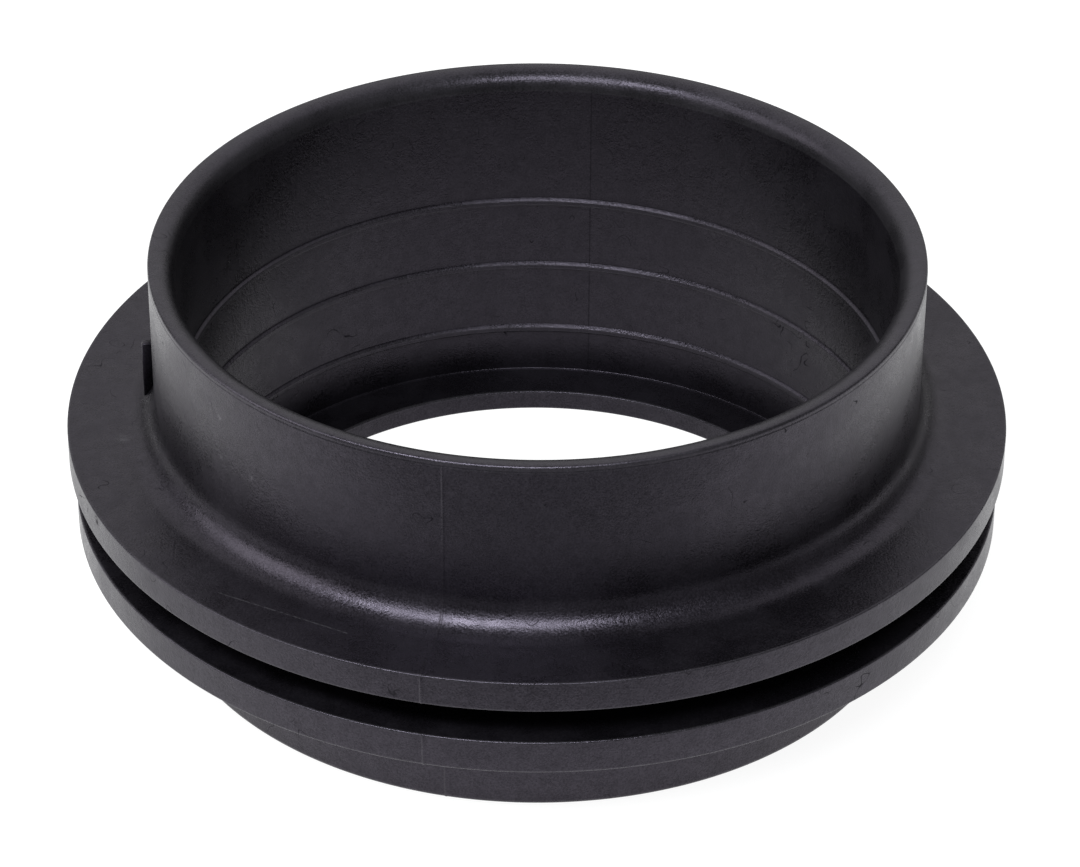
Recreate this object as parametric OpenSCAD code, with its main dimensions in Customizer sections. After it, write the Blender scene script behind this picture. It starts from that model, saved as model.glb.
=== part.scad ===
// Double-flange rubber pipe seal: a collar that grips a pipe, two flanges that
// clamp the edge of a panel, and a short spigot with a ledge that stops the pipe.
// It is one moulding. Each node is a section of it, and neighbouring sections
// meet face to face. The origin is on the axis at the spigot's lower face.

/* [Pipe] */
// Outside diameter of the pipe
pipe_d = 88.9; // [80:0.1:100]
// How much smaller than the pipe the sealing ribs are, on the diameter
rib_squeeze = 0.4; // [0:0.1:0.6]
// Width of the opening that the waste falls through
opening_d = 77.4; // [60:0.1:79]

/* [Sealing ribs] */
// Number of ribs inside the bore
rib_count = 3; // [1:1:3]
// Distance from one rib to the next
rib_pitch = 10; // [6:0.5:10]
// Height of a rib along the axis
rib_w = 1.2; // [0.8:0.1:2]
// How far a rib stands out from the bore
rib_out = 0.45; // [0.2:0.05:1]
// Centre of the lowest rib above the ledge
rib_first = 6.6; // [3:0.1:8]

/* [Tube] */
// Thickness of the tube's wall
wall = 3.3; // [3.3:0.1:5]
// Height of the collar above the upper flange
collar_h = 22.5; // [15:0.5:40]
// Radius of the lip's inner edge
lip_in_r = 2.5; // [1:0.1:2.5]
// Radius of the lip's outer edge
lip_out_r = 0.4; // [0.2:0.1:0.8]
// Radius of the fillet at the collar's foot
foot_r = 4; // [1:0.5:8]
// Length of the spigot below the lower flange
spigot_h = 12.9; // [12:0.1:30]
// Radius of the spigot's lower outer edge
spigot_edge_r = 0.5; // [0.2:0.1:1]
// Thickness of the ledge that stops the pipe
ledge_t = 2.8; // [2:0.1:5]

/* [Flanges] */
// Diameter of the upper flange
upper_d = 118; // [112:0.2:140]
// Thickness of the upper flange
upper_t = 4.1; // [3:0.1:6]
// Diameter of the lower flange
lower_d = 116.6; // [112:0.2:138]
// Thickness of the lower flange
lower_t = 4.4; // [3:0.1:6]
// Width of the groove for the panel's edge
groove_w = 5; // [3:0.1:10]
// Radius of the flanges' edges
rim_r = 0.2; // [0.2:0.1:1]

/* [Index lug] */
// How far the lug stands out from the collar
lug_out = 1.5; // [0.8:0.1:3]
// Width of the lug around the collar
lug_w = 1; // [0.8:0.1:6]
// Height of the lug's top above the upper flange
lug_h = 8.7; // [8.5:0.1:12]
// Angle of the lug about the axis, from +X
lug_angle = 180; // [0:1:360]

/* [Hidden] */
$fn = 128;
rubber = [0.07, 0.07, 0.075];

rib_r = (pipe_d - rib_squeeze) / 2;
bore_r = rib_r + rib_out;
tube_r = bore_r + wall;
lower_z = spigot_h;
groove_z = lower_z + lower_t;
upper_z = groove_z + groove_w;
collar_z = upper_z + upper_t;
// Slope at each end of a rib, which leaves a flat sealing face between them
rib_slope = rib_w / 4;
// How far the lug's blank starts inside the collar's wall
lug_root = 0.6;

// What rounding an outer corner at the origin takes away, turned by quarter turns
module corner_waste(r, quarter) {
    rotate(90 * quarter)
        difference() {
            translate([-r, -r]) square(2 * r);
            translate([-r, -r]) circle(r);
            translate([-2 * r, -r]) square([r, 2 * r]);
            translate([-r, -2 * r]) square([2 * r, r]);
        }
}

// A rectangle from radius r0 to r1 and height z0 to z1, revolved; the edges'
// radii are given as [outer top, inner top, inner bottom, outer bottom]
module ring(r0, r1, z0, z1, edges = [0, 0, 0, 0]) {
    corners = [[r1, z1], [r0, z1], [r0, z0], [r1, z0]];
    rotate_extrude()
        difference() {
            translate([r0, z0]) square([r1 - r0, z1 - z0]);
            for (i = [0:3])
                if (edges[i] > 0)
                    translate(corners[i]) corner_waste(edges[i], i);
        }
}

// Tall collar with its soft lip
module upper_collar() {
    color(rubber)
        ring(bore_r, tube_r, collar_z, collar_z + collar_h, [lip_out_r, lip_in_r, 0, 0]);
}

// Fillet that runs from the collar out onto the upper flange
module collar_fillet() {
    color(rubber)
        rotate_extrude()
            difference() {
                translate([tube_r, collar_z]) square(foot_r);
                translate([tube_r + foot_r, collar_z + foot_r]) circle(foot_r);
            }
}

// Flange that lies on top of the panel
module upper_flange() {
    color(rubber)
        ring(bore_r, upper_d / 2, upper_z, collar_z, [rim_r, 0, 0, rim_r]);
}

// Neck that fills the hole in the panel
module panel_neck() {
    color(rubber) ring(bore_r, tube_r, groove_z, upper_z);
}

// Flange that grips the panel from below
module lower_flange() {
    color(rubber)
        ring(bore_r, lower_d / 2, lower_z, groove_z, [rim_r, 0, 0, rim_r]);
}

// Short tube below the panel, with the ledge at its lower end where the pipe stops
module lower_spigot() {
    color(rubber)
        rotate_extrude()
            difference() {
                translate([opening_d / 2, 0]) square([tube_r - opening_d / 2, lower_z]);
                translate([0, ledge_t]) square([bore_r, lower_z]);
                translate([tube_r, 0]) corner_waste(spigot_edge_r, 3);
            }
}

// Low ribs that seal on the pipe, one above the other
module sealing_ribs() {
    color(rubber)
        for (i = [0:rib_count - 1])
            translate([0, 0, ledge_t + rib_first + i * rib_pitch])
                rotate_extrude()
                    polygon([[bore_r, -rib_w / 2], [bore_r, rib_w / 2],
                             [rib_r, rib_w / 2 - rib_slope],
                             [rib_r, -rib_w / 2 + rib_slope]]);
}

// Small upright lug on the collar, which dies into the foot's fillet and marks
// how the seal is turned
module index_lug() {
    color(rubber)
        difference() {
            rotate([0, 0, lug_angle])
                translate([tube_r - lug_root, -lug_w / 2, collar_z])
                    cube([lug_out + lug_root, lug_w, lug_h]);
            cylinder(r = tube_r, h = collar_z + collar_h);
            collar_fillet();
        }
}

upper_collar();
collar_fillet();
upper_flange();
panel_neck();
lower_flange();
lower_spigot();
sealing_ribs();
index_lug();
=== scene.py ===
"""Rubber pipe seal with two flanges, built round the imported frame.

The scene is in metres, in the part's own frame: +Z up along the seal's axis, and
the origin at the spigot's lower face. The seal's sizes are kept in millimetres, and
turned to metres as its meshes are made. The seal is one moulding, so its skin is one
piece, revolved from an outline to which each section of the seal adds its stretch.
"""
import logging
import math
from dataclasses import dataclass, field
from enum import Enum
from typing import Any, Sequence

import bpy
from mathutils import Matrix, Vector


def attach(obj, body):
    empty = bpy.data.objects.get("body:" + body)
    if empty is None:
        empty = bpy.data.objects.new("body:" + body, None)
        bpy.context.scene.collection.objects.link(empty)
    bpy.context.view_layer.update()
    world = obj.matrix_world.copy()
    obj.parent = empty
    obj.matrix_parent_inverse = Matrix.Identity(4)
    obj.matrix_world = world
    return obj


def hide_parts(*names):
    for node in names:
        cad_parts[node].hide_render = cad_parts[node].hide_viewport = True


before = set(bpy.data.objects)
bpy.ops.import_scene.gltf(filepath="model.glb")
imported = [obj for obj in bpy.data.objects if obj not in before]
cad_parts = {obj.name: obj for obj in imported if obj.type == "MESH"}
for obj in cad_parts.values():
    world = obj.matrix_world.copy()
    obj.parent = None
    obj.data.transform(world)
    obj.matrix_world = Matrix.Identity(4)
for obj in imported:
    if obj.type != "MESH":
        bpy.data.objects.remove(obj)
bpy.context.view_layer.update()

LOG = logging.getLogger("pipe_seal")
MM = 0.001
FULL_TURN = 2.0 * math.pi
QUARTER_TURN = math.pi / 2.0
TINY = 1e-6
UNDERSIDE = (-1.0, -1.0, 0.0)  # Nothing lies below the spigot's lower face; x and y are free

Socket = bpy.types.NodeSocket
Node = bpy.types.Node


def polar(radius: float, azimuth: float, height: float) -> Vector:
    """Finds a point from its place round the seal's axis.

    Args:
        radius: Distance from the axis, in millimetres.
        azimuth: Angle about the axis from +X, in degrees.
        height: Height above the spigot's lower face, in millimetres.

    Returns:
        The point in metres.
    """
    angle = math.radians(azimuth)
    return Vector((radius * math.cos(angle), radius * math.sin(angle), height)) * MM


# ---------------------------------------------------------------- outline

@dataclass(frozen=True)
class Corner:
    """A corner of the seal's cross-section, in millimetres.

    Attributes:
        radius: Distance from the axis.
        height: Height above the spigot's lower face.
        round: Radius of the corner's rounding, or 0 for a sharp corner.
        flash: How much of the mould's flash shows along the edge after it, 0 to 1.
    """

    radius: float
    height: float
    round: float = 0.0
    flash: float = 0.0


@dataclass(frozen=True)
class Station:
    """A point of the finished outline, with what the skin needs to know there.

    Attributes:
        radius: Distance from the axis.
        height: Height above the spigot's lower face.
        out_r: How far the skin there faces away from the axis, -1 to 1.
        out_z: How far it faces up, -1 to 1.
        flash: How much of the mould's flash shows there, 0 to 1.
        wear: 1 on an outer rounding, which rubs on other things, and 0 elsewhere.
    """

    radius: float
    height: float
    out_r: float
    out_z: float
    flash: float
    wear: float


@dataclass(frozen=True)
class LowerSpigot:
    """Short tube below the panel, with the ledge that stops the pipe."""

    opening_r: float = 38.7
    bore_r: float = 44.7
    tube_r: float = 48.0
    top: float = 12.9
    ledge: float = 2.8
    edge: float = 0.5
    lip: float = 0.25
    bore_foot: float = 0.12

    def outer(self) -> list[Corner]:
        """Gives the lower face and the outside, from the axis outwards."""
        return [
            Corner(self.opening_r, 0.0, self.lip, 0.0),
            Corner(self.tube_r, 0.0, self.edge, 0.9),
            Corner(self.tube_r, self.top, self.edge, 0.4),
        ]

    def inner(self) -> list[Corner]:
        """Gives the ledge, from the bore's wall down to the opening."""
        return [
            Corner(self.bore_r, self.ledge, self.bore_foot, 0.0),
            Corner(self.opening_r, self.ledge, self.lip, 0.0),
        ]


@dataclass(frozen=True)
class Flange:
    """A flat ring that stands out from the tube."""

    rim_r: float
    bottom: float
    top: float
    edge: float

    def outer(self) -> list[Corner]:
        """Gives the two corners of the rim, lower first."""
        return [
            Corner(self.rim_r, self.bottom, self.edge, 1.0),
            Corner(self.rim_r, self.top, self.edge, 0.35),
        ]


@dataclass(frozen=True)
class PanelNeck:
    """Bottom of the groove that the panel's edge sits in."""

    neck_r: float = 48.0
    bottom: float = 17.3
    top: float = 22.3
    fillet: float = 0.5

    def outer(self) -> list[Corner]:
        """Gives the groove's two inside corners, lower first."""
        return [
            Corner(self.neck_r, self.bottom, self.fillet, 0.0),
            Corner(self.neck_r, self.top, self.fillet, 0.3),
        ]


@dataclass(frozen=True)
class UpperCollar:
    """Tall collar with its foot, a fine groove under the lip, and the soft lip."""

    bore_r: float = 44.7
    tube_r: float = 48.0
    foot: float = 26.4
    foot_round: float = 4.0
    top: float = 48.9
    lip_out: float = 0.4
    lip_in: float = 2.5
    line_below: float = 0.75
    line_width: float = 0.24
    line_depth: float = 0.05
    line_edge: float = 0.04
    line_bed: float = 0.03

    def outer(self) -> list[Corner]:
        """Gives the collar's outside from the foot up, and its lip.

        Returns:
            The corners, up the outside and over the lip to the bore.
        """
        line_top = self.top - self.line_below
        half = self.line_width / 2.0
        return [
            Corner(self.tube_r, self.foot, self.foot_round, 0.8),
            Corner(self.tube_r, line_top - half, self.line_edge, 0.2),
            Corner(self.tube_r - self.line_depth, line_top, self.line_bed, 0.2),
            Corner(self.tube_r, line_top + half, self.line_edge, 0.3),
            Corner(self.tube_r, self.top, self.lip_out, 0.0),
            Corner(self.bore_r, self.top, self.lip_in, 0.0),
        ]


@dataclass(frozen=True)
class SealingRibs:
    """Low ribs in the bore, which seal on the pipe."""

    bore_r: float = 44.7
    rib_r: float = 44.25
    width: float = 1.2
    slope: float = 0.3
    first: float = 9.4
    pitch: float = 10.0
    count: int = 3
    soft: float = 0.08

    def inner(self) -> list[Corner]:
        """Gives the ribs' corners from the top rib to the lowest.

        Returns:
            Four corners to a rib, down the bore.
        """
        corners: list[Corner] = []
        for index in reversed(range(self.count)):
            middle = self.first + index * self.pitch
            half = self.width / 2.0
            land = half - self.slope
            corners += [
                Corner(self.bore_r, middle + half, self.soft),
                Corner(self.rib_r, middle + land, self.soft),
                Corner(self.rib_r, middle - land, self.soft),
                Corner(self.bore_r, middle - half, self.soft),
            ]
        return corners


@dataclass
class OutlineMaker:
    """Turns corners into stations: rounds each corner and fills each straight run.

    Attributes:
        step: Longest gap between stations on a straight run.
        guard: Distance of the station that guards each end of a rounding.
        least_turn: A corner that turns less than this, in radians, stays as it is.
        arc_pieces: Pieces in a quarter turn of a small rounding.
        big_round: A rounding from this radius up gets big_pieces in a quarter.
        big_pieces: Pieces in a quarter turn of a big rounding.
    """

    step: float = 3.0
    guard: float = 0.16
    least_turn: float = 1e-4
    arc_pieces: int = 4
    big_round: float = 2.0
    big_pieces: int = 12
    stations: list[Station] = field(default_factory=list)

    def build(self, corners: Sequence[Corner]) -> list[Station]:
        """Walks round the closed outline, with the solid on the left.

        Args:
            corners: The outline's corners in order.

        Returns:
            The stations in order, without a repeat of the first.
        """
        self.stations = []
        rounds = [self._rounding(corners, index) for index in range(len(corners))]
        for index, corner in enumerate(corners):
            after = (index + 1) % len(corners)
            self.stations += rounds[index]
            self._fill(rounds[index][-1], rounds[after][0], corner.flash)
        return self.stations

    def _rounding(self, corners: Sequence[Corner], index: int) -> list[Station]:
        """Rounds one corner.

        Args:
            corners: All of the outline's corners.
            index: Which corner to round.

        Returns:
            The stations along its rounding, or one station at a sharp corner.
        """
        here = corners[index]
        before = corners[index - 1]
        after = corners[(index + 1) % len(corners)]
        point = Vector((here.radius, here.height))
        came = (point - Vector((before.radius, before.height))).normalized()
        goes = (Vector((after.radius, after.height)) - point).normalized()
        turn = math.atan2(came.x * goes.y - came.y * goes.x, came.dot(goes))
        flash = (before.flash + here.flash) / 2.0
        if here.round <= 0.0 or abs(turn) < self.least_turn:
            out = Vector((came.y + goes.y, -came.x - goes.x)).normalized()
            return [Station(point.x, point.y, out.x, out.y, flash, 0.0)]
        side = 1.0 if turn > 0.0 else -1.0
        reach = here.round * math.tan(abs(turn) / 2.0)
        start = point - came * reach
        centre = start + Vector((-came.y, came.x)) * (here.round * side)
        quarter = self.big_pieces if here.round >= self.big_round else self.arc_pieces
        pieces = max(2, round(quarter * abs(turn) / QUARTER_TURN))
        wear = 1.0 if side > 0.0 else 0.0
        made: list[Station] = []
        for piece in range(pieces + 1):
            swing = turn * piece / pieces
            out = Vector((came.y, -came.x))
            out.rotate(Matrix.Rotation(swing, 2))
            place = centre + out * (here.round * side)
            made.append(Station(place.x, place.y, out.x, out.y, flash, wear))
        return made

    def _fill(self, start: Station, end: Station, flash: float) -> None:
        """Adds the stations of a straight run, between two roundings.

        Args:
            start: Last station of the rounding before it.
            end: First station of the rounding after it.
            flash: How much flash shows along the run.
        """
        first = Vector((start.radius, start.height))
        last = Vector((end.radius, end.height))
        run = last - first
        length = run.length
        if length < TINY:
            self.stations.pop()
            return
        along = run / length
        marks: list[float] = []
        if length > 3.0 * self.guard:
            inner = length - 2.0 * self.guard
            count = max(1, math.ceil(inner / self.step))
            marks = [self.guard + inner * piece / count for piece in range(count + 1)]
        for mark in marks:
            place = first + along * mark
            self.stations.append(Station(place.x, place.y, along.y, -along.x, flash, 0.0))


# ---------------------------------------------------------------- node trees

class Sum(Enum):
    """Arithmetic that the node trees use."""

    ADD = "ADD"
    SUBTRACT = "SUBTRACT"
    MULTIPLY = "MULTIPLY"
    DIVIDE = "DIVIDE"
    SINE = "SINE"
    COSINE = "COSINE"
    ABSOLUTE = "ABSOLUTE"
    FLOOR = "FLOOR"
    MODULO = "MODULO"
    GREATER = "GREATER_THAN"
    MAXIMUM = "MAXIMUM"
    MINIMUM = "MINIMUM"
    POWER = "POWER"


class TreeMaker:
    """Adds nodes to a geometry or shader tree and joins them up."""

    def __init__(self, tree: bpy.types.NodeTree, maths: str = "ShaderNodeMath") -> None:
        """Keeps the tree that the nodes go into."""
        self.tree = tree
        self.maths = maths

    def add(self, kind: str, **settings: Any) -> Node:
        """Adds a node and sets its own properties.

        Args:
            kind: The node's type name.
            **settings: Property names and values.

        Returns:
            The new node.
        """
        node = self.tree.nodes.new(kind)
        for name, value in settings.items():
            setattr(node, name, value)
        return node

    def put(self, value: Any, socket: Socket) -> None:
        """Joins a socket to an input, or sets the input to a constant.

        Args:
            value: A socket, or the constant.
            socket: The input.
        """
        if isinstance(value, bpy.types.NodeSocket):
            self.tree.links.new(value, socket)
        else:
            socket.default_value = value

    def sum(self, kind: Sum, first: Any, second: Any = None) -> Socket:
        """Adds one step of arithmetic.

        Args:
            kind: Which operation.
            first: A socket or a number.
            second: A socket or a number, where the operation takes two.

        Returns:
            The result's socket.
        """
        node = self.add(self.maths, operation=kind.value)
        self.put(first, node.inputs[0])
        if second is not None:
            self.put(second, node.inputs[1])
        return node.outputs[0]

    def vector(self, kind: str, first: Any, second: Any = None, scale: Any = None) -> Node:
        """Adds one step of vector arithmetic.

        Args:
            kind: The vector operation's name.
            first: A socket or a vector.
            second: A socket or a vector, where the operation takes two.
            scale: A socket or a number, for SCALE.

        Returns:
            The node, whose outputs are the vector and the value.
        """
        node = self.add("ShaderNodeVectorMath", operation=kind)
        self.put(first, node.inputs[0])
        if second is not None:
            self.put(second, node.inputs[1])
        if scale is not None:
            self.put(scale, node.inputs["Scale"])
        return node

    def remap(self, value: Any, ends: tuple[float, float], out: tuple[float, float]) -> Socket:
        """Maps one range smoothly onto another.

        Args:
            value: A socket or a number.
            ends: The range that comes in.
            out: The range that goes out.

        Returns:
            The result's socket.
        """
        node = self.add("ShaderNodeMapRange", interpolation_type="SMOOTHSTEP")
        self.put(value, node.inputs["Value"])
        for name, number in zip(("From Min", "From Max", "To Min", "To Max"), ends + out):
            node.inputs[name].default_value = number
        return node.outputs["Result"]

    def held(self, value: Socket) -> Socket:
        """Holds a number between 0 and 1."""
        return self.sum(Sum.MINIMUM, self.sum(Sum.MAXIMUM, value, 0.0), 1.0)


# ---------------------------------------------------------------- skin

@dataclass(frozen=True)
class MouldSeam:
    """Line where the mould's two halves met, on both sides of the seal.

    Attributes:
        azimuth: Angle of the seam about the axis, in degrees.
        gather: How closely the skin's mesh gathers at the seam, 0 to under 1.
        height: Height of the flash, in millimetres.
        width: Half-width of the flash, in millimetres.
    """

    azimuth: float = 257.1
    gather: float = 0.9
    height: float = 0.11
    width: float = 0.13


@dataclass
class RubberMoulding:
    """The whole seal apart from its lug: one closed skin.

    Attributes:
        around: Stations round the axis.
        sag: How far the soft skin falls short of a true turned shape, in millimetres.
        sag_scale: Size of that unevenness, as noise scale per metre.
        sag_detail: How many finer layers the unevenness has.
        clear: Added to a row's number, to keep it clear of rounding errors.
        sharp: Angle past which an edge of the skin stays sharp, in degrees.
    """

    spigot: LowerSpigot = field(default_factory=LowerSpigot)
    lower: Flange = field(default_factory=lambda: Flange(58.3, 12.9, 17.3, 0.2))
    neck: PanelNeck = field(default_factory=PanelNeck)
    upper: Flange = field(default_factory=lambda: Flange(59.0, 22.3, 26.4, 0.2))
    collar: UpperCollar = field(default_factory=UpperCollar)
    ribs: SealingRibs = field(default_factory=SealingRibs)
    seam: MouldSeam = field(default_factory=MouldSeam)
    around: int = 440
    sag: float = 0.04
    sag_scale: float = 24.0
    sag_detail: float = 1.0
    clear: float = 0.25
    sharp: float = 50.0

    def corners(self) -> list[Corner]:
        """Gives the outline, each section adding its stretch in turn."""
        return (
            self.spigot.outer() + self.lower.outer() + self.neck.outer()
            + self.upper.outer() + self.collar.outer() + self.ribs.inner()
            + self.spigot.inner()
        )

    def outline_mesh(self) -> bpy.types.Mesh:
        """Makes the outline as loose points that carry their facing, flash and wear.

        Returns:
            The mesh, in metres.
        """
        stations = OutlineMaker().build(self.corners())
        mesh = bpy.data.meshes.new("seal_outline")
        mesh.from_pydata([(s.radius * MM, 0.0, s.height * MM) for s in stations], [], [])
        facing = [part for s in stations for part in (s.out_r, 0.0, s.out_z)]
        store(mesh, "facing", "FLOAT_VECTOR", facing)
        store(mesh, "flash", "FLOAT", [s.flash for s in stations])
        store(mesh, "wear", "FLOAT", [s.wear for s in stations])
        return mesh

    def revolve_tree(self) -> bpy.types.NodeTree:
        """Builds the tree that turns the outline about the axis.

        Returns:
            A geometry tree with named inputs for the seal's seam and unevenness.
        """
        tree = self._empty_tree()
        make = TreeMaker(tree)
        given = make.add("NodeGroupInput").outputs
        outline = given["Geometry"]
        counted = make.add("GeometryNodeAttributeDomainSize")
        make.put(outline, counted.inputs[0])
        count = counted.outputs["Point Count"]
        columns = make.sum(Sum.ADD, given["Stations Around"], 1.0)
        grid = make.add("GeometryNodeMeshGrid")
        make.put(make.sum(Sum.ADD, count, 1.0), grid.inputs["Vertices X"])
        make.put(columns, grid.inputs["Vertices Y"])
        row, column = self._row_and_column(make, columns)
        station = make.sum(Sum.MODULO, make.sum(Sum.ADD, row, self.clear), count)
        spot = self._sampled(make, outline, station, "position")
        facing = self._sampled(make, outline, station, "facing")
        flash = self._sampled(make, outline, station, "flash")
        wear = self._sampled(make, outline, station, "wear")
        angle = self._gathered(make, column, given)
        azimuth = make.sum(Sum.ADD, angle, given["Seam Angle"])
        place = self._turned(make, spot, azimuth)
        outward = self._turned(make, facing, azimuth)
        ridge = make.sum(Sum.MULTIPLY, self._seam_bell(make, spot, angle, given), flash)
        raised = make.sum(Sum.MULTIPLY, ridge, given["Flash Height"])
        lift = make.sum(Sum.SUBTRACT, raised, self._dip(make, place, given))
        moved = make.vector("ADD", place, make.vector("SCALE", outward, scale=lift).outputs[0])
        level = make.vector("MAXIMUM", moved.outputs[0], UNDERSIDE)
        placed = make.add("GeometryNodeSetPosition")
        make.put(grid.outputs["Mesh"], placed.inputs["Geometry"])
        make.put(level.outputs[0], placed.inputs["Position"])
        self._finish_tree(make, self._closed(make, placed.outputs[0], wear), given)
        return tree

    @staticmethod
    def _empty_tree() -> bpy.types.NodeTree:
        """Makes the tree with its named inputs and nothing in it.

        Returns:
            The tree.
        """
        tree = bpy.data.node_groups.new("revolve_outline", "GeometryNodeTree")
        tree.is_modifier = True
        face = tree.interface
        face.new_socket("Geometry", in_out="INPUT", socket_type="NodeSocketGeometry")
        face.new_socket("Stations Around", in_out="INPUT", socket_type="NodeSocketInt")
        for name in ("Seam Angle", "Seam Gather", "Flash Height", "Flash Width", "Sag",
                     "Sag Scale", "Sharp Angle"):
            face.new_socket(name, in_out="INPUT", socket_type="NodeSocketFloat")
        face.new_socket("Finish", in_out="INPUT", socket_type="NodeSocketMaterial")
        face.new_socket("Geometry", in_out="OUTPUT", socket_type="NodeSocketGeometry")
        return tree

    @staticmethod
    def _row_and_column(make: TreeMaker, columns: Socket) -> tuple[Socket, Socket]:
        """Finds where in the grid each of its points is.

        Args:
            make: The tree's maker.
            columns: How many points a row has.

        Returns:
            The row, which counts along the outline, and the column, which counts round.
        """
        index = make.add("GeometryNodeInputIndex").outputs[0]
        middle = make.sum(Sum.ADD, index, 0.5)
        row = make.sum(Sum.FLOOR, make.sum(Sum.DIVIDE, middle, columns))
        column = make.sum(Sum.SUBTRACT, index, make.sum(Sum.MULTIPLY, row, columns))
        return row, column

    @staticmethod
    def _gathered(make: TreeMaker, column: Socket, given: Any) -> Socket:
        """Turns a column into an angle from the seam, closer together near the seam.

        Args:
            make: The tree's maker.
            column: The column's number.
            given: The tree's inputs.

        Returns:
            The angle in radians.
        """
        share = make.sum(Sum.DIVIDE, column, given["Stations Around"])
        turn = make.sum(Sum.MULTIPLY, share, FULL_TURN)
        twice = make.sum(Sum.SINE, make.sum(Sum.MULTIPLY, turn, 2.0))
        half_gather = make.sum(Sum.MULTIPLY, given["Seam Gather"], 0.5)
        return make.sum(Sum.SUBTRACT, turn, make.sum(Sum.MULTIPLY, half_gather, twice))

    @staticmethod
    def _seam_bell(make: TreeMaker, spot: Socket, angle: Socket, given: Any) -> Socket:
        """Draws the flash's bell-shaped section by the distance from the seam's plane.

        Args:
            make: The tree's maker.
            spot: The place in the outline's plane.
            angle: The angle from the seam, in radians.
            given: The tree's inputs.

        Returns:
            1 on the seam, and 0 well away from it.
        """
        parts = make.add("ShaderNodeSeparateXYZ")
        make.put(spot, parts.inputs[0])
        across = make.sum(Sum.MULTIPLY, parts.outputs["X"], make.sum(Sum.SINE, angle))
        ratio = make.sum(Sum.DIVIDE, make.sum(Sum.ABSOLUTE, across), given["Flash Width"])
        square = make.sum(Sum.MULTIPLY, ratio, ratio)
        return make.sum(Sum.POWER, math.e, make.sum(Sum.MULTIPLY, square, -1.0))

    def _dip(self, make: TreeMaker, place: Socket, given: Any) -> Socket:
        """Works out how far the soft skin falls short of the turned shape.

        Args:
            make: The tree's maker.
            place: The place on the turned shape.
            given: The tree's inputs.

        Returns:
            The shortfall in metres.
        """
        noise = make.add("ShaderNodeTexNoise", noise_dimensions="3D")
        make.put(place, noise.inputs["Vector"])
        make.put(given["Sag Scale"], noise.inputs["Scale"])
        noise.inputs["Detail"].default_value = self.sag_detail
        return make.sum(Sum.MULTIPLY, noise.outputs[0], given["Sag"])

    @staticmethod
    def _closed(make: TreeMaker, skin: Socket, wear: Socket) -> Socket:
        """Stores the wear, joins the grid's ends, and turns its faces outwards.

        Args:
            make: The tree's maker.
            skin: The placed grid.
            wear: The wear at each point.

        Returns:
            The closed skin.
        """
        kept = make.add("GeometryNodeStoreNamedAttribute", data_type="FLOAT", domain="POINT")
        make.put(skin, kept.inputs["Geometry"])
        kept.inputs["Name"].default_value = "wear"
        make.put(wear, kept.inputs["Value"])
        joined = make.add("GeometryNodeMergeByDistance")
        make.put(kept.outputs[0], joined.inputs["Geometry"])
        joined.inputs["Distance"].default_value = TINY
        outside = make.add("GeometryNodeFlipFaces")
        make.put(joined.outputs[0], outside.inputs[0])
        return outside.outputs[0]

    @staticmethod
    def _sampled(make: TreeMaker, outline: Socket, station: Socket, name: str) -> Socket:
        """Reads a value of the outline at a station.

        Args:
            make: The tree's maker.
            outline: The outline's geometry.
            station: Which station to read, as a number.
            name: "position", or the name of a stored attribute.

        Returns:
            The value's socket.
        """
        is_vector = name in ("position", "facing")
        kind = "FLOAT_VECTOR" if is_vector else "FLOAT"
        if name == "position":
            source = make.add("GeometryNodeInputPosition").outputs[0]
        else:
            read = make.add("GeometryNodeInputNamedAttribute", data_type=kind)
            read.inputs["Name"].default_value = name
            source = read.outputs["Attribute"]
        sample = make.add("GeometryNodeSampleIndex", data_type=kind, domain="POINT", clamp=True)
        make.put(outline, sample.inputs["Geometry"])
        make.put(source, sample.inputs["Value"])
        make.put(make.sum(Sum.FLOOR, station), sample.inputs["Index"])
        return sample.outputs[0]

    @staticmethod
    def _turned(make: TreeMaker, flat: Socket, azimuth: Socket) -> Socket:
        """Turns a vector of the outline's plane about the axis.

        Args:
            make: The tree's maker.
            flat: A vector whose X is along the radius and whose Z is up.
            azimuth: Angle to turn it by, in radians.

        Returns:
            The turned vector's socket.
        """
        parts = make.add("ShaderNodeSeparateXYZ")
        make.put(flat, parts.inputs[0])
        joined = make.add("ShaderNodeCombineXYZ")
        cosine = make.sum(Sum.COSINE, azimuth)
        sine = make.sum(Sum.SINE, azimuth)
        make.put(make.sum(Sum.MULTIPLY, parts.outputs["X"], cosine), joined.inputs["X"])
        make.put(make.sum(Sum.MULTIPLY, parts.outputs["X"], sine), joined.inputs["Y"])
        make.put(parts.outputs["Z"], joined.inputs["Z"])
        return joined.outputs[0]

    @staticmethod
    def _finish_tree(make: TreeMaker, skin: Socket, given: Any) -> None:
        """Smooths the skin, gives it its finish, and ends the tree.

        Args:
            make: The tree's maker.
            skin: The closed skin's geometry.
            given: The tree's inputs.
        """
        edge = make.add("GeometryNodeInputMeshEdgeAngle").outputs["Unsigned Angle"]
        soft = make.add("GeometryNodeSetShadeSmooth", domain="FACE")
        make.put(skin, soft.inputs["Geometry"])
        soft.inputs["Shade Smooth"].default_value = True
        crisp = make.add("GeometryNodeSetShadeSmooth", domain="EDGE")
        make.put(soft.outputs[0], crisp.inputs["Geometry"])
        make.put(make.sum(Sum.GREATER, edge, given["Sharp Angle"]), crisp.inputs["Selection"])
        crisp.inputs["Shade Smooth"].default_value = False
        real = make.add("GeometryNodeRealizeInstances")
        make.put(crisp.outputs[0], real.inputs[0])
        dressed = make.add("GeometryNodeSetMaterial")
        make.put(real.outputs[0], dressed.inputs["Geometry"])
        make.put(given["Finish"], dressed.inputs["Material"])
        make.put(dressed.outputs[0], make.add("NodeGroupOutput").inputs[0])

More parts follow.
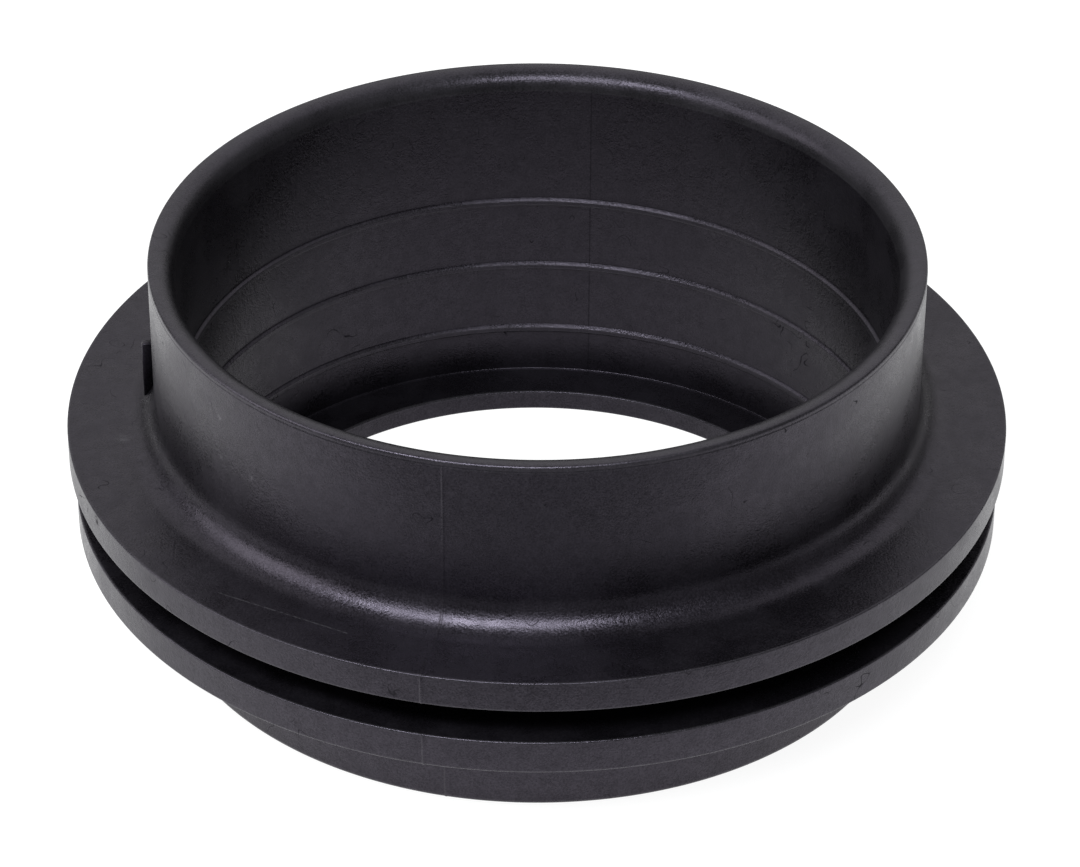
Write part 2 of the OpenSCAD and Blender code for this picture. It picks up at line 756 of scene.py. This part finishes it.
    def build(self, finish: bpy.types.Material) -> bpy.types.Object:
        """Revolves the outline and keeps the result as a plain mesh.

        Args:
            finish: The rubber's material.

        Returns:
            The finished piece.
        """
        piece = bpy.data.objects.new("rubber_moulding", self.outline_mesh())
        bpy.context.scene.collection.objects.link(piece)
        tree = self.revolve_tree()
        modifier = piece.modifiers.new("revolve", "NODES")
        modifier.node_group = tree
        values = {
            "Stations Around": self.around,
            "Seam Angle": math.radians(self.seam.azimuth),
            "Seam Gather": self.seam.gather,
            "Flash Height": self.seam.height * MM,
            "Flash Width": self.seam.width * MM,
            "Sag": self.sag * MM,
            "Sag Scale": self.sag_scale,
            "Sharp Angle": math.radians(self.sharp),
            "Finish": finish,
        }
        for socket in tree.interface.items_tree:
            if socket.in_out == "INPUT" and socket.name in values:
                modifier[socket.identifier] = values[socket.name]
        return bake_modifiers(piece)


def store(mesh: bpy.types.Mesh, name: str, kind: str, values: Sequence[float]) -> None:
    """Adds one attribute to a mesh's points and fills it at once.

    A later attribute can move the earlier ones in memory, so none is kept open.

    Args:
        mesh: The mesh.
        name: The attribute's name.
        kind: FLOAT or FLOAT_VECTOR.
        values: Its numbers in point order, three to a point for a vector.
    """
    attribute = mesh.attributes.new(name, kind, "POINT")
    attribute.data.foreach_set("vector" if kind == "FLOAT_VECTOR" else "value", values)


def bake_modifiers(piece: bpy.types.Object) -> bpy.types.Object:
    """Turns a piece's modifiers into a plain mesh and removes them.

    Args:
        piece: An object that stands at the origin.

    Returns:
        The same object, with its finished mesh.
    """
    graph = bpy.context.evaluated_depsgraph_get()
    shape = bpy.data.meshes.new_from_object(piece.evaluated_get(graph), depsgraph=graph)
    piece.modifiers.clear()
    piece.data = shape
    shape.name = piece.name
    return piece


@dataclass
class IndexLug:
    """Small upright fin on the collar, which dies into the foot's fillet.

    Attributes:
        azimuth: Where it stands round the axis from +X, in degrees.
        root_r: Where it starts, inside the collar's wall.
        wall_r: The collar's outer radius.
        out: How far the nose stands out from the collar.
        width: Width round the collar.
        bottom: Height of its foot, inside the fillet.
        top: Height of its top.
        crown: Radius of the rounding round its top.
        nose: Radius of the nose's two upright edges.
        crown_pieces: Pieces in the crown's quarter turn.
        nose_pieces: Pieces in each edge's quarter turn.
    """

    azimuth: float = 180.0
    root_r: float = 47.5
    wall_r: float = 48.0
    out: float = 1.45
    width: float = 1.0
    bottom: float = 26.6
    top: float = 35.0
    crown: float = 0.18
    nose: float = 0.2
    crown_pieces: int = 5
    nose_pieces: int = 5

    def section(self, reach: float) -> list[tuple[float, float]]:
        """Gives the fin's plan at one level.

        Args:
            reach: How far the nose stands out at this level, in millimetres.

        Returns:
            Points as distance from the axis and offset sideways, all round.
        """
        half = self.width / 2.0
        inset = self.wall_r + reach - self.nose
        points = [(self.root_r, -half)]
        for side in (-1.0, 1.0):
            for piece in range(self.nose_pieces + 1):
                share = piece / self.nose_pieces
                swing = QUARTER_TURN * (share - 1.0 if side < 0.0 else share)
                across = side * (half - self.nose) + self.nose * math.sin(swing)
                points.append((inset + self.nose * math.cos(swing), across))
        return points + [(self.root_r, half)]

    def levels(self) -> list[tuple[float, float]]:
        """Gives the fin's levels from the foot to the crown.

        Returns:
            Each level's height, and how far the nose stands out there.
        """
        levels = [(self.bottom, self.out)]
        for piece in range(self.crown_pieces + 1):
            swing = QUARTER_TURN * piece / self.crown_pieces
            height = self.top - self.crown + self.crown * math.sin(swing)
            levels.append((height, self.out - self.crown * (1.0 - math.cos(swing))))
        return levels

    def build(self, finish: bpy.types.Material) -> bpy.types.Object:
        """Lofts the fin from its foot to its rounded crown.

        Args:
            finish: The rubber's material.

        Returns:
            The finished piece.
        """
        turn = Matrix.Rotation(math.radians(self.azimuth), 3, "Z")
        points: list[Vector] = []
        for height, reach in self.levels():
            points += [(turn @ Vector((r, side, height))) * MM for r, side in self.section(reach)]
        size = len(self.section(self.out))
        last = len(points) - size
        faces: list[tuple[int, ...]] = [tuple(reversed(range(size)))]
        for low in range(0, last, size):
            high = low + size
            for index in range(size):
                after = (index + 1) % size
                faces.append((low + index, low + after, high + after, high + index))
        faces.append(tuple(range(last, last + size)))
        mesh = bpy.data.meshes.new("index_lug_skin")
        mesh.from_pydata(points, [], faces)
        mesh.materials.append(finish)
        mesh.shade_smooth()
        piece = bpy.data.objects.new("index_fin", mesh)
        bpy.context.scene.collection.objects.link(piece)
        return piece


# ---------------------------------------------------------------- finishes

@dataclass(frozen=True)
class Pattern:
    """A noise pattern on a piece's own coordinates.

    Attributes:
        scale: Noise scale per metre.
        detail: How many finer layers it has.
        rough: Strength of each finer layer against the last.
    """

    scale: float
    detail: float
    rough: float

    def draw(self, make: TreeMaker, place: Socket) -> Socket:
        """Adds the pattern to a tree.

        Args:
            make: The tree's maker.
            place: The piece's own coordinates.

        Returns:
            The pattern's socket, about 0.5 in the middle.
        """
        noise = make.add("ShaderNodeTexNoise")
        make.put(place, noise.inputs["Vector"])
        noise.inputs["Scale"].default_value = self.scale
        noise.inputs["Detail"].default_value = self.detail
        noise.inputs["Roughness"].default_value = self.rough
        return noise.outputs[0]


@dataclass(frozen=True)
class Scuff:
    """A small pale touch of wear, in millimetres and degrees."""

    radius: float
    azimuth: float
    height: float
    size: float
    strength: float


@dataclass(frozen=True)
class Scratch:
    """A thin light scratch between two places at one height."""

    start_r: float = 55.8
    start_azimuth: float = 228.0
    end_r: float = 54.0
    end_azimuth: float = 246.0
    height: float = 26.4
    width: float = 0.16
    strength: float = 0.5


@dataclass(frozen=True)
class BlackRubber:
    """Satin moulded black rubber, with a cloudy bloom, a fine grain and light wear.

    Radii and widths are in millimetres, and heights of bump in metres.

    Attributes:
        dark: Colour where there is no bloom.
        light: Colour under the bloom.
        worn: Colour of wear.
        sheen_tint: Tint of the gloss.
        ior: Refractive index.
        specular: Gloss outside the bore.
        bore_specular: Gloss of the bore, set lower than outside, which darkens the bore's
            reflections.
        rib_specular: Gloss of the ribs' slopes.
        bore_r: The bore's radius.
        bore_blend: Radii between which the bore's gloss turns to the outside's.
        rib_edge: Radii between which a rib's land turns to its slope.
        rib_foot: Radii between which the slope's gloss dies out.
        core_seam_azimuth: Angle of the core's own seam, in degrees.
        core_seam_width: How far from that seam the gloss is duller.
        core_seam_level: What share of the gloss is left on it.
        smooth: Roughness where there is no bloom.
        rough: Roughness under the bloom.
        cloud: Pattern of the bloom.
        bloom: Range of the cloud over which the bloom comes in.
        middle: Middle range of a pattern, which the finer marks spread over.
        speckle: How far the grain moves the roughness down and up.
        hair: Pattern whose level lines are the hairline marks.
        hair_width: Width of a mark, in the pattern's own units.
        hair_patches: Pattern that says where the marks are.
        hair_patch: Range of that pattern over which they come in.
        hair_dark: How much gloss a mark loses.
        hair_dull: How much rougher a mark is.
        mottling: Pattern of the gloss's broad unevenness.
        mottle: Least and most of that unevenness.
        speck: Least and most of the gloss's fine unevenness.
        wear_cloud: Range of the cloud that breaks up the edges' wear.
        edge_wear: Least and most wear on an outer rounding.
        ragged: Pattern that tears the edges of scuffs and of the scratch.
        torn: Range of that pattern over a scuff.
        broken: Range of that pattern along the scratch.
        torn_share: Least and most of a mark that the tearing leaves.
    """

    dark: tuple[float, float, float] = (0.0026, 0.0023, 0.0030)
    light: tuple[float, float, float] = (0.0050, 0.0045, 0.0057)
    worn: tuple[float, float, float] = (0.060, 0.058, 0.062)
    sheen_tint: tuple[float, float, float, float] = (0.885, 0.79, 1.0, 1.0)
    ior: float = 1.5
    specular: float = 0.50
    bore_specular: float = 0.30
    rib_specular: float = 0.66
    bore_r: float = 44.7
    bore_blend: tuple[float, float] = (45.2, 46.2)
    rib_edge: tuple[float, float] = (44.26, 44.33)
    rib_foot: tuple[float, float] = (44.56, 44.66)
    core_seam_azimuth: float = 81.0
    core_seam_width: float = 0.16
    core_seam_level: float = 0.45
    smooth: float = 0.29
    rough: float = 0.37
    cloud: Pattern = Pattern(110.0, 5.0, 0.62)
    bloom: tuple[float, float] = (0.36, 0.66)
    middle: tuple[float, float] = (0.3, 0.7)
    pebble: Pattern = Pattern(1500.0, 2.0, 0.55)
    pebble_height: float = 0.000028
    grain: Pattern = Pattern(4200.0, 2.0, 0.6)
    grain_height: float = 0.000032
    speckle: tuple[float, float] = (-0.07, 0.07)
    hair: Pattern = Pattern(150.0, 2.0, 0.55)
    hair_width: float = 0.005
    hair_patches: Pattern = Pattern(190.0, 1.0, 0.5)
    hair_patch: tuple[float, float] = (0.60, 0.66)
    hair_dark: float = 0.55
    hair_dull: float = 0.35
    hair_height: float = 0.000010
    mottling: Pattern = Pattern(620.0, 4.0, 0.65)
    mottle: tuple[float, float] = (0.89, 1.11)
    speck: tuple[float, float] = (0.74, 1.26)
    wear_cloud: tuple[float, float] = (0.35, 0.70)
    edge_wear: tuple[float, float] = (0.13, 0.19)
    ragged: Pattern = Pattern(1500.0, 3.0, 0.7)
    torn: tuple[float, float] = (0.42, 0.58)
    broken: tuple[float, float] = (0.40, 0.55)
    torn_share: tuple[float, float] = (0.2, 1.0)
    scratch: Scratch = Scratch()
    scuffs: tuple[Scuff, ...] = (
        Scuff(48.0, 218.7, 43.7, 0.7, 0.8),
        Scuff(48.0, 218.8, 38.0, 0.55, 0.7),
        Scuff(48.0, 225.5, 37.9, 0.6, 0.7),
        Scuff(59.0, 207.0, 25.6, 0.9, 0.9),
        Scuff(52.2, 189.6, 26.4, 1.4, 0.45),
        Scuff(44.7, 58.4, 28.3, 0.5, 0.3),
    )

    def material(self) -> bpy.types.Material:
        """Builds the rubber's shader.

        Returns:
            The material.
        """
        finish = bpy.data.materials.new("black_rubber")
        finish.use_nodes = True
        tree = finish.node_tree
        make = TreeMaker(tree)
        shader = tree.nodes["Principled BSDF"]
        shader.inputs["IOR"].default_value = self.ior
        shader.inputs["Specular Tint"].default_value = self.sheen_tint
        place = make.add("ShaderNodeTexCoord").outputs["Object"]
        cloud = self.cloud.draw(make, place)
        grain = self.grain.draw(make, place)
        pebble = self.pebble.draw(make, place)
        hairs = self._hairs(make, place)
        make.put(self._shine(make, place, hairs), shader.inputs["Specular IOR Level"])
        bloom = make.remap(cloud, self.bloom, (0.0, 1.0))
        worn = self._worn(make, place, cloud)
        body = self._mixed(make, bloom, self.dark, self.light)
        colour = self._mixed(make, worn, body, self.worn)
        make.put(colour, shader.inputs["Base Color"])
        base_rough = make.remap(bloom, (0.0, 1.0), (self.smooth, self.rough))
        speckled = make.sum(Sum.ADD, base_rough, make.remap(grain, self.middle, self.speckle))
        dulled = make.sum(Sum.MULTIPLY, hairs, self.hair_dull)
        make.put(make.sum(Sum.ADD, speckled, dulled), shader.inputs["Roughness"])
        rough = self._bumped(make, pebble, self.pebble_height, None)
        fine = self._bumped(make, grain, self.grain_height, rough)
        cut = make.sum(Sum.SUBTRACT, 1.0, hairs)
        make.put(self._bumped(make, cut, self.hair_height, fine), shader.inputs["Normal"])
        return finish

    def _shine(self, make: TreeMaker, place: Socket, hairs: Socket) -> Socket:
        """Sets how shiny the rubber is: duller in the bore, and duller still at the core's seam.

        Args:
            make: The tree's maker.
            place: The piece's own coordinates.
            hairs: The mask of the hairline marks, which don't shine.

        Returns:
            The specular level's socket.
        """
        flat = make.vector("MULTIPLY", place, Vector((1.0, 1.0, 0.0))).outputs[0]
        radius = make.vector("DISTANCE", flat, Vector((0.0, 0.0, 0.0))).outputs["Value"]
        # The bore's gloss is set lower than outside, which darkens the bore's reflections.
        wall = self._banded(make, radius, self.bore_blend, (self.bore_specular, self.specular))
        edge = self._banded(make, radius, self.rib_edge, (0.0, 1.0))
        foot = self._banded(make, radius, self.rib_foot, (self.rib_specular, 0.0))
        level = make.sum(Sum.MAXIMUM, wall, make.sum(Sum.MULTIPLY, edge, foot))
        seam = polar(self.bore_r, self.core_seam_azimuth, 0.0)
        away = make.vector("DISTANCE", flat, seam).outputs["Value"]
        near = (0.0, self.core_seam_width)
        line = self._banded(make, away, near, (self.core_seam_level, 1.0))
        mottle = make.remap(self.mottling.draw(make, place), self.middle, self.mottle)
        speck = make.remap(self.grain.draw(make, place), self.middle, self.speck)
        uneven = make.sum(Sum.MULTIPLY, mottle, speck)
        whole = make.remap(hairs, (0.0, 1.0), (1.0, 1.0 - self.hair_dark))
        marked = make.sum(Sum.MULTIPLY, line, whole)
        return make.sum(Sum.MULTIPLY, make.sum(Sum.MULTIPLY, level, marked), uneven)

    @staticmethod
    def _banded(make: TreeMaker, length: Socket, band: tuple[float, float],
                out: tuple[float, float]) -> Socket:
        """Maps a length in metres onto a range, over a band given in millimetres."""
        return make.remap(length, (band[0] * MM, band[1] * MM), out)

    @staticmethod
    def _bumped(make: TreeMaker, height: Socket, distance: float, under: Any) -> Socket:
        """Adds a layer of bump over another, or over the bare surface.

        Args:
            make: The tree's maker.
            height: The layer's pattern.
            distance: The layer's height, in metres.
            under: The layer below it, or None.

        Returns:
            The bumped normal's socket.
        """
        bump = make.add("ShaderNodeBump")
        bump.inputs["Distance"].default_value = distance
        make.put(height, bump.inputs["Height"])
        if under is not None:
            make.put(under, bump.inputs["Normal"])
        return bump.outputs[0]

    def _hairs(self, make: TreeMaker, place: Socket) -> Socket:
        """Draws a scatter of hairline marks, as thin level lines of a noise.

        Args:
            make: The tree's maker.
            place: The piece's own coordinates.

        Returns:
            The mask's socket, 1 on a mark.
        """
        from_middle = make.sum(Sum.SUBTRACT, self.hair.draw(make, place), 0.5)
        level = make.sum(Sum.ABSOLUTE, from_middle)
        line = make.remap(level, (0.0, self.hair_width), (1.0, 0.0))
        kept = make.remap(self.hair_patches.draw(make, place), self.hair_patch, (0.0, 1.0))
        return make.sum(Sum.MULTIPLY, line, kept)

    @staticmethod
    def _mixed(make: TreeMaker, share: Socket, first: Any, second: Any) -> Socket:
        """Mixes two colours.

        Args:
            make: The tree's maker.
            share: How much of the second colour there is, 0 to 1.
            first: A socket or three numbers.
            second: A socket or three numbers.

        Returns:
            The mixed colour's socket.
        """
        mix = make.add("ShaderNodeMix", data_type="RGBA")
        make.put(share, mix.inputs["Factor"])
        for value, socket in ((first, mix.inputs["A"]), (second, mix.inputs["B"])):
            make.put(value if isinstance(value, bpy.types.NodeSocket) else (*value, 1.0), socket)
        return mix.outputs["Result"]

    def _worn(self, make: TreeMaker, place: Socket, cloud: Socket) -> Socket:
        """Gathers the edge wear, the scuffs and the scratch into one mask.

        Args:
            make: The tree's maker.
            place: The piece's own coordinates.
            cloud: A pattern that breaks the wear up.

        Returns:
            The mask's socket, from 0 for fresh rubber to 1 for worn.
        """
        edge = make.add("ShaderNodeAttribute", attribute_name="wear").outputs["Fac"]
        mask = make.sum(Sum.MULTIPLY, edge, make.remap(cloud, self.wear_cloud, self.edge_wear))
        ragged = self.ragged.draw(make, place)
        for scuff in self.scuffs:
            centre = polar(scuff.radius, scuff.azimuth, scuff.height)
            apart = make.vector("DISTANCE", place, centre).outputs["Value"]
            spot = self._banded(make, apart, (0.0, scuff.size), (1.0, 0.0))
            torn = make.sum(Sum.MULTIPLY, spot, make.remap(ragged, self.torn, self.torn_share))
            mask = make.sum(Sum.ADD, mask, make.sum(Sum.MULTIPLY, torn, scuff.strength))
        mask = make.sum(Sum.ADD, mask, self._scratched(make, place, ragged))
        return make.held(mask)

    def _scratched(self, make: TreeMaker, place: Socket, ragged: Socket) -> Socket:
        """Draws the scratch as the distance from a straight line.

        Args:
            make: The tree's maker.
            place: The piece's own coordinates.
            ragged: A pattern that breaks the line up.

        Returns:
            The scratch's mask.
        """
        mark = self.scratch
        start = polar(mark.start_r, mark.start_azimuth, mark.height)
        span = polar(mark.end_r, mark.end_azimuth, mark.height) - start
        away = make.vector("SUBTRACT", place, start).outputs[0]
        along = make.vector("DOT_PRODUCT", away, span).outputs["Value"]
        share = make.held(make.sum(Sum.DIVIDE, along, span.length_squared))
        foot = make.vector("SCALE", span, scale=share).outputs[0]
        apart = make.vector("DISTANCE", away, foot).outputs["Value"]
        line = self._banded(make, apart, (0.0, mark.width), (mark.strength, 0.0))
        return make.sum(Sum.MULTIPLY, line, make.remap(ragged, self.broken, self.torn_share))


@dataclass(frozen=True)
class PaleFloor:
    """Matt white light table, which glows from below and fades out in front of the seal.

    Attributes:
        colour: Colour of the top.
        roughness: Roughness of the top.
        specular: Gloss of the top.
        glow: Brightness of the lit part, where white paper is about 1.
        front_glow: Brightness in front of the seal, so that its front stays dark.
        fade_from: Y at which the glow starts to fade, in metres.
        fade_to: Y at which it has faded, in metres.
    """

    colour: tuple[float, float, float, float] = (0.2, 0.2, 0.2, 1.0)
    roughness: float = 0.7
    specular: float = 0.1
    glow: float = 0.92
    front_glow: float = 0.12
    fade_from: float = -0.071
    fade_to: float = -0.106

    def material(self) -> bpy.types.Material:
        """Builds the table's shader.

        Returns:
            The material.
        """
        finish = bpy.data.materials.new("pale_table")
        finish.use_nodes = True
        shader = finish.node_tree.nodes["Principled BSDF"]
        shader.inputs["Base Color"].default_value = self.colour
        shader.inputs["Roughness"].default_value = self.roughness
        shader.inputs["Specular IOR Level"].default_value = self.specular
        shader.inputs["Emission Color"].default_value = (1.0, 1.0, 1.0, 1.0)
        make = TreeMaker(finish.node_tree)
        place = make.add("ShaderNodeTexCoord").outputs["Object"]
        parts = make.add("ShaderNodeSeparateXYZ")
        make.put(place, parts.inputs[0])
        ends = (self.fade_to, self.fade_from)
        lit = make.remap(parts.outputs["Y"], ends, (self.front_glow, self.glow))
        make.put(lit, shader.inputs["Emission Strength"])
        return finish


# ---------------------------------------------------------------- studio

@dataclass(frozen=True)
class Softbox:
    """A soft rectangular light that faces the seal.

    Attributes:
        name: Name of the light.
        azimuth: Where it stands, in degrees from straight in front, right positive.
        elevation: Height of its direction above the table, in degrees.
        distance: Distance from the seal, in metres.
        width: Width, in metres.
        height: Height, in metres.
        radiance: Brightness of its face, where white paper is about 1.
        colour: Colour of its light.
    """

    name: str
    azimuth: float
    elevation: float
    distance: float
    width: float
    height: float
    radiance: float
    colour: tuple[float, float, float] = (1.0, 1.0, 1.0)

    def build(self) -> bpy.types.Object:
        """Makes the light.

        Returns:
            The light's object.
        """
        lamp = bpy.data.lights.new(self.name, "AREA")
        lamp.shape = "RECTANGLE"
        lamp.size = self.width
        lamp.size_y = self.height
        lamp.color = self.colour
        lamp.energy = self.radiance * self.width * self.height * math.pi
        item = bpy.data.objects.new(self.name, lamp)
        side = math.radians(self.azimuth)
        up = math.radians(self.elevation)
        place = Vector((math.sin(side) * math.cos(up), -math.cos(side) * math.cos(up), math.sin(up)))
        item.location = place * self.distance
        item.rotation_euler = (-place).to_track_quat("-Z", "Y").to_euler()
        bpy.context.scene.collection.objects.link(item)
        return item


@dataclass
class Studio:
    """Table, surrounding light, softboxes and camera.

    Attributes:
        surround: Brightness of the white surroundings.
        table_half: Half the table's width, in metres.
        camera_at: Where the camera stands, in metres.
        camera_aim: What it looks at, in metres.
        roll: Lift of the camera's right side, in degrees.
        lens: Focal length, in millimetres.
        sensor: Width of the sensor, in millimetres.
        nearest: Nearest distance that the camera shows, in metres.
        lights: The softboxes.
    """

    surround: float = 0.16
    table_half: float = 1.6
    camera_at: tuple[float, float, float] = (0.000406, -0.443920, 0.316622)
    camera_aim: tuple[float, float, float] = (0.000406, 0.0, 0.021618)
    roll: float = 0.285
    lens: float = 140.16
    sensor: float = 36.0
    nearest: float = 0.01
    lights: tuple[Softbox, ...] = (
        Softbox("key_softbox", -21.0, 53.0, 1.1, 0.90, 0.22, 25.0, (0.96, 1.0, 1.02)),
        Softbox("left_fill", -82.0, 30.0, 1.0, 0.70, 0.55, 3.0),
        Softbox("back_panel", 180.0, 50.0, 1.2, 2.60, 1.50, 0.64),
    )

    def build_camera(self) -> bpy.types.Object:
        """Makes the camera and sets it as the scene's own.

        Returns:
            The camera's object.
        """
        data = bpy.data.cameras.new("studio_camera")
        data.lens = self.lens
        data.sensor_width = self.sensor
        data.sensor_fit = "HORIZONTAL"
        data.clip_start = self.nearest
        item = bpy.data.objects.new("studio_camera", data)
        ahead = (Vector(self.camera_aim) - Vector(self.camera_at)).normalized()
        level = ahead.cross(Vector((0.0, 0.0, 1.0))).normalized()
        above = level.cross(ahead)
        tilt = math.radians(self.roll)
        right = level * math.cos(tilt) + above * math.sin(tilt)
        up = above * math.cos(tilt) - level * math.sin(tilt)
        turn = Matrix((right, up, -ahead)).transposed().to_4x4()
        item.matrix_world = Matrix.Translation(self.camera_at) @ turn
        bpy.context.scene.collection.objects.link(item)
        bpy.context.scene.camera = item
        return item

    def build_table(self) -> bpy.types.Object:
        """Makes the table's top, level with the seal's lower face.

        Returns:
            The table's object.
        """
        half = self.table_half
        mesh = bpy.data.meshes.new("table_top")
        ends = [(-half, -half), (half, -half), (half, half), (-half, half)]
        mesh.from_pydata([(x, y, 0.0) for x, y in ends], [], [(0, 1, 2, 3)])
        mesh.materials.append(PaleFloor().material())
        item = bpy.data.objects.new("table_top", mesh)
        bpy.context.scene.collection.objects.link(item)
        return item

    def build(self) -> None:
        """Sets the surroundings, the table, the lights and the camera."""
        scene = bpy.context.scene
        scene.view_settings.view_transform = "Standard"
        scene.view_settings.look = "None"
        world = bpy.data.worlds.new("white_surroundings")
        world.use_nodes = True
        sky = world.node_tree.nodes["Background"]
        sky.inputs["Color"].default_value = (1.0, 1.0, 1.0, 1.0)
        sky.inputs["Strength"].default_value = self.surround
        scene.world = world
        self.build_table()
        for light in self.lights:
            light.build()
        self.build_camera()


# ---------------------------------------------------------------- assembly

def report_piece(piece: bpy.types.Object) -> None:
    """Logs a piece's size in triangles."""
    triangles = sum(len(face.vertices) - 2 for face in piece.data.polygons)
    LOG.info("%s: %d triangles", piece.name, triangles)


def main() -> None:
    """Builds the studio and the seal in order."""
    logging.basicConfig(level=logging.INFO, format="%(name)s: %(message)s")
    Studio().build()
    rubber = BlackRubber().material()
    moulding = RubberMoulding().build(rubber)
    sections = [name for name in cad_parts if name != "index_lug"]
    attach(moulding, "root")
    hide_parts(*sections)
    report_piece(moulding)
    lug = IndexLug().build(rubber)
    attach(lug, "root")
    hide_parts("index_lug")
    report_piece(lug)


if __name__ == "__main__":
    main()
